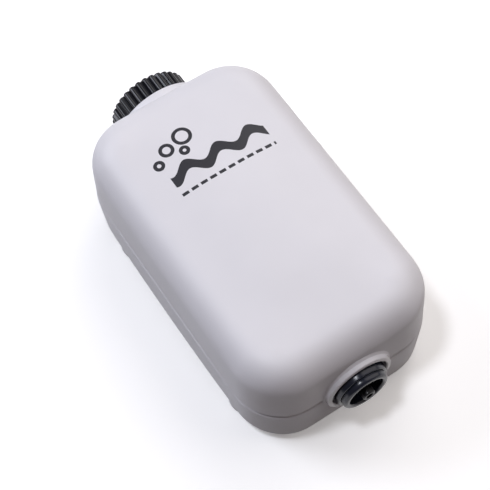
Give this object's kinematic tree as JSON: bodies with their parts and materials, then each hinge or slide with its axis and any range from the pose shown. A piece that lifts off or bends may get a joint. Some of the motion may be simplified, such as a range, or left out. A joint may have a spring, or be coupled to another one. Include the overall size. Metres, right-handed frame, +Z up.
{
  "type": "aquarium air pump",
  "caption": "Single-outlet aquarium air pump: rounded two-part housing with a front airline nipple, a rear flow knob and an electromagnet, lever and diaphragm pump inside.",
  "frame": {"origin": "on the surface the pump stands on, under the middle of its bounding box", "axes": "+Z up, -Y out of the air outlet, +Y out of the flow knob, +X out of the cord gland"},
  "size_m": [0.0654, 0.1186, 0.0432],
  "materials": {
    "housing_plastic": "light grey semi-gloss moulded plastic with a faint waviness and a fine sheen",
    "knob_plastic": "black moulded plastic, satin on the grip ribs",
    "black_plastic": "black moulded plastic, slightly dull",
    "boot_rubber": "dark grey soft rubber with a dull sheen",
    "foot_rubber": "black rubber, dull",
    "hose_silicone": "translucent grey silicone, matt",
    "diaphragm_rubber": "thin black rubber",
    "natural_plastic": "off-white engineering plastic, matt",
    "chamber_plastic": "dark grey moulded plastic, matt",
    "gasket_rubber": "red-brown rubber sheet",
    "zinc_steel": "zinc-plated steel, bright",
    "core_steel": "varnished steel laminations, stacked",
    "magnet_ferrite": "dark sintered magnet",
    "enamelled_copper": "red-brown enamelled copper wire, closely wound",
    "lead_pvc": "red sleeved wire",
    "board_laminate": "green lacquered circuit board",
    "film_capacitor": "yellow moulded plastic box",
    "resistor_lacquer": "beige lacquered body with colour bands",
    "terminal_green": "green moulded plastic",
    "filter_felt": "grey-white wool felt"
  },
  "bodies": {
    "housing": {"top_shell": "housing_plastic", "base_shell": "housing_plastic", "housing_screws": "zinc_steel", "rubber_feet": "foot_rubber", "cord_gland": "boot_rubber", "outlet_boot": "boot_rubber", "outlet_nozzle": "black_plastic", "outlet_hose": "hose_silicone", "pot_body": "zinc_steel", "pot_nut": "zinc_steel", "circuit_board": "board_laminate", "triac": "black_plastic", "capacitor": "film_capacitor", "resistors": "resistor_lacquer", "terminal_block": "terminal_green", "intake_filter": "filter_felt", "core_stack": "core_steel", "core_screws": "zinc_steel", "coil_bobbin": "natural_plastic", "coil_winding": "enamelled_copper", "coil_leads": "lead_pvc", "pivot_pin": "zinc_steel", "pin_clip": "zinc_steel", "diaphragm": "diaphragm_rubber", "diaphragm_clamp": "natural_plastic", "chamber_body": "chamber_plastic", "chamber_gasket": "gasket_rubber", "chamber_cover": "chamber_plastic", "chamber_screws": "zinc_steel", "chamber_pads": "foot_rubber"},
    "knob": {"control_knob": "knob_plastic", "pot_shaft": "zinc_steel"},
    "armature": {"lever_arm": "natural_plastic", "lever_magnets": "magnet_ferrite", "diaphragm_disc": "natural_plastic", "diaphragm_screw": "zinc_steel"},
    "inlet_valve": {"inlet_flap": "diaphragm_rubber"},
    "outlet_valve": {"outlet_flap": "diaphragm_rubber"}
  },
  "joints": [
    {"name": "knob_turn", "type": "hinge", "parent": "housing", "child": "knob", "pos_m": [-0.0017, 0.0498, 0.0201], "axis": [0, 1, 0], "range_deg": [0, 270]},
    {"name": "armature_swing", "type": "hinge", "parent": "housing", "child": "armature", "pos_m": [-0.0082, -0.0397, 0.0201], "axis": [0, 0, 1], "range_deg": [-2.5, 2.5], "stiffness_Nm_per_rad": 0.1, "deforming": ["diaphragm"]},
    {"name": "inlet_flap_swing", "type": "hinge", "parent": "housing", "child": "inlet_valve", "pos_m": [0.005, -0.0136, 0.0235], "axis": [0, 1, 0], "range_deg": [0, 12], "stiffness_Nm_per_rad": 0.0002},
    {"name": "outlet_flap_swing", "type": "hinge", "parent": "housing", "child": "outlet_valve", "pos_m": [0.0126, -0.0228, 0.0235], "axis": [0, -1, 0], "range_deg": [0, 12], "stiffness_Nm_per_rad": 0.0002}
  ]
}
